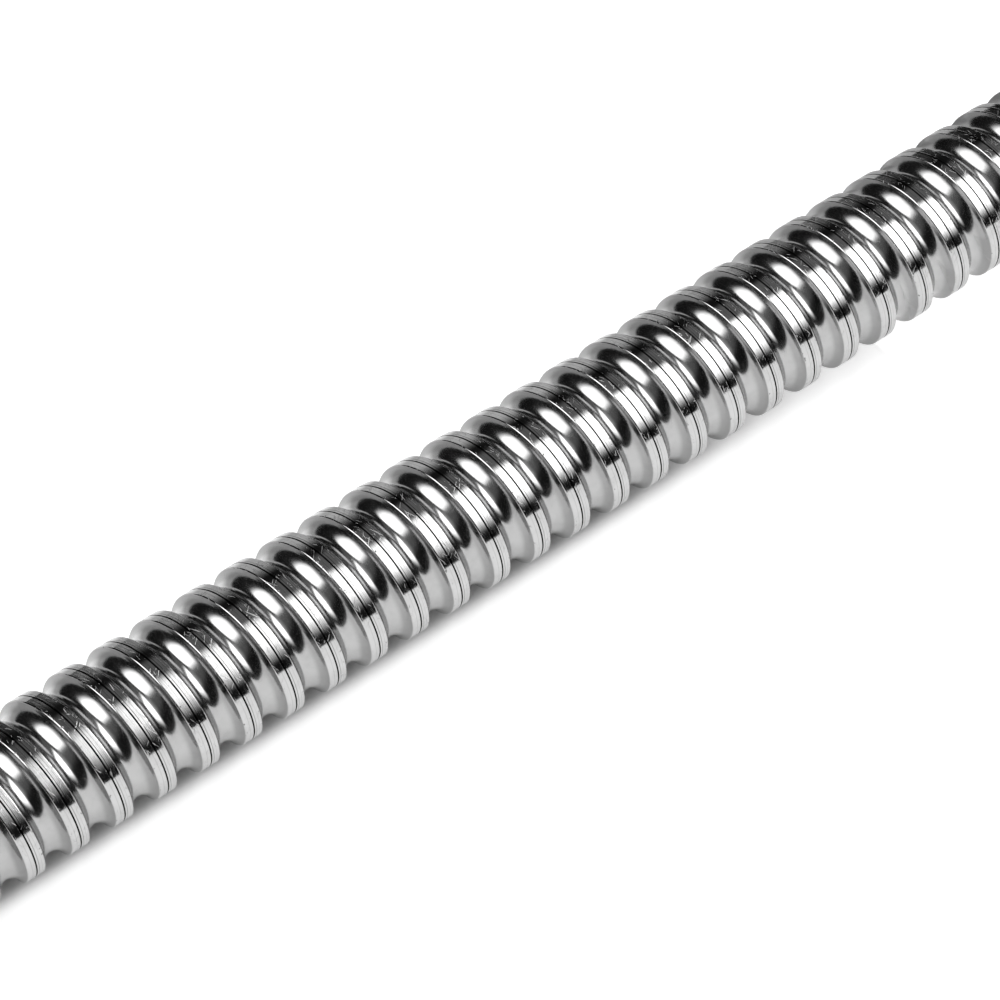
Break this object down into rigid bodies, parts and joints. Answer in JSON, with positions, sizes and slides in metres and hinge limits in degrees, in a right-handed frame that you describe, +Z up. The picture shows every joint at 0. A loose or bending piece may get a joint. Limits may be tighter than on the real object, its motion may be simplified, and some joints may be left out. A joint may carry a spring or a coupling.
{
  "type": "ball screw",
  "caption": "Rolled ball screw with a flanged recirculating ball nut, a locked angular-contact bearing pair at the driven end and a free-end bearing.",
  "frame": {"origin": "on the screw's axis, midway between the shaft's two ends; it is also the centre of the part's box", "axes": "+X along the screw from its driven end to its free end, +Z up through the lubrication port's flat, +Y across"},
  "size_m": [0.28, 0.048, 0.04],
  "materials": {
    "rolled_screw_steel": "rolled, hardened and polished",
    "ground_nut_steel": "ground",
    "ring_steel": "ground",
    "ball_steel": "lapped",
    "deflector_steel": "sintered, matt",
    "blackened_steel": "black oxide",
    "spring_steel": "phosphated",
    "shield_steel": "pressed sheet",
    "pad_brass": "turned",
    "cage_plastic": "moulded",
    "wiper_plastic": "moulded"
  },
  "bodies": {
    "bearing_seats": {"fixed_bearing_1_outer_ring": "ring_steel", "fixed_bearing_2_outer_ring": "ring_steel", "free_bearing_outer_ring": "ring_steel", "free_bearing_inner_shield": "shield_steel", "free_bearing_outer_shield": "shield_steel"},
    "screw": {"screw_shaft": "rolled_screw_steel", "inner_collar": "ring_steel", "fixed_bearing_1_inner_ring": "ring_steel", "fixed_bearing_2_inner_ring": "ring_steel", "outer_collar": "ring_steel", "lock_nut": "blackened_steel", "lock_nut_set_screw": "blackened_steel", "lock_nut_pad": "pad_brass", "free_bearing_inner_ring": "ring_steel", "circlip": "spring_steel"},
    "nut": {"nut_body": "ground_nut_steel", "lube_plug": "blackened_steel", "ball_circuit_1": "ball_steel", "ball_circuit_2": "ball_steel", "ball_circuit_3": "ball_steel", "return_deflector_1": "deflector_steel", "return_deflector_2": "deflector_steel", "return_deflector_3": "deflector_steel", "wiper_flange_end": "wiper_plastic", "wiper_body_end": "wiper_plastic"},
    "fixed_cage_1": {"fixed_bearing_1_ball_cage": "cage_plastic"},
    "fixed_cage_2": {"fixed_bearing_2_ball_cage": "cage_plastic"},
    "free_cage": {"free_bearing_ball_cage": "cage_plastic"}
  },
  "joints": [
    {"name": "nut_travel", "type": "slide", "parent": "bearing_seats", "child": "nut", "axis": [1, 0, 0], "range_m": [0, 0.166]},
    {"name": "screw_spin", "type": "hinge", "parent": "bearing_seats", "child": "screw", "pos_m": [0, 0, 0], "axis": [1, 0, 0], "range_deg": [-11955, 0]},
    {"name": "fixed_cage_1_spin", "type": "hinge", "parent": "bearing_seats", "child": "fixed_cage_1", "pos_m": [-0.0955, 0, 0], "axis": [1, 0, 0], "range_deg": [-4746, 0]},
    {"name": "fixed_cage_2_spin", "type": "hinge", "parent": "bearing_seats", "child": "fixed_cage_2", "pos_m": [-0.10375, 0, 0], "axis": [1, 0, 0], "range_deg": [-4746, 0]},
    {"name": "free_cage_spin", "type": "hinge", "parent": "bearing_seats", "child": "free_cage", "pos_m": [0.13225, 0, 0], "axis": [1, 0, 0], "range_deg": [-4396, 0]}
  ],
  "couplings": [
    {"joint": "screw_spin", "follows": "nut_travel", "rad_per_m": -1256.6},
    {"joint": "fixed_cage_1_spin", "follows": "nut_travel", "rad_per_m": -498.76},
    {"joint": "fixed_cage_2_spin", "follows": "nut_travel", "rad_per_m": -498.76},
    {"joint": "free_cage_spin", "follows": "nut_travel", "rad_per_m": -462.07}
  ]
}
